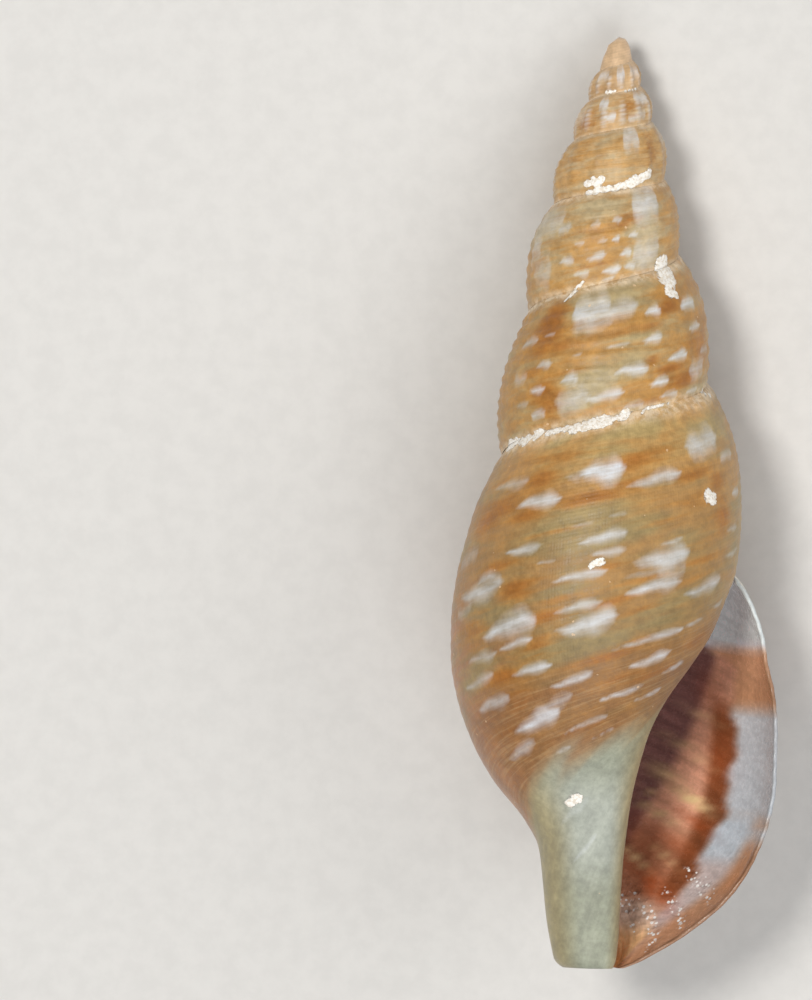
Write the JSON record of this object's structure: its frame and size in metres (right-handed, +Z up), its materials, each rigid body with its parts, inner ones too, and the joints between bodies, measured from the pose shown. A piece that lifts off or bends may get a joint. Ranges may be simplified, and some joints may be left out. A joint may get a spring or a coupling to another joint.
{
  "type": "daphnella varicosa shell",
  "caption": "Slender dextral sea snail shell with a tall spire, a long narrow aperture and a short open canal, lying on its back with the aperture up.",
  "frame": {"origin": "middle of the shell's box, on the surface it lies on", "axes": "+Y towards the apex of the spire, +X towards the outer lip, +Z up, the way the aperture faces"},
  "size_m": [0.0056, 0.0158, 0.005],
  "materials": {
    "shell": "satin"
  },
  "bodies": {
    "root": {"shell": "shell"}
  },
  "joints": []
}
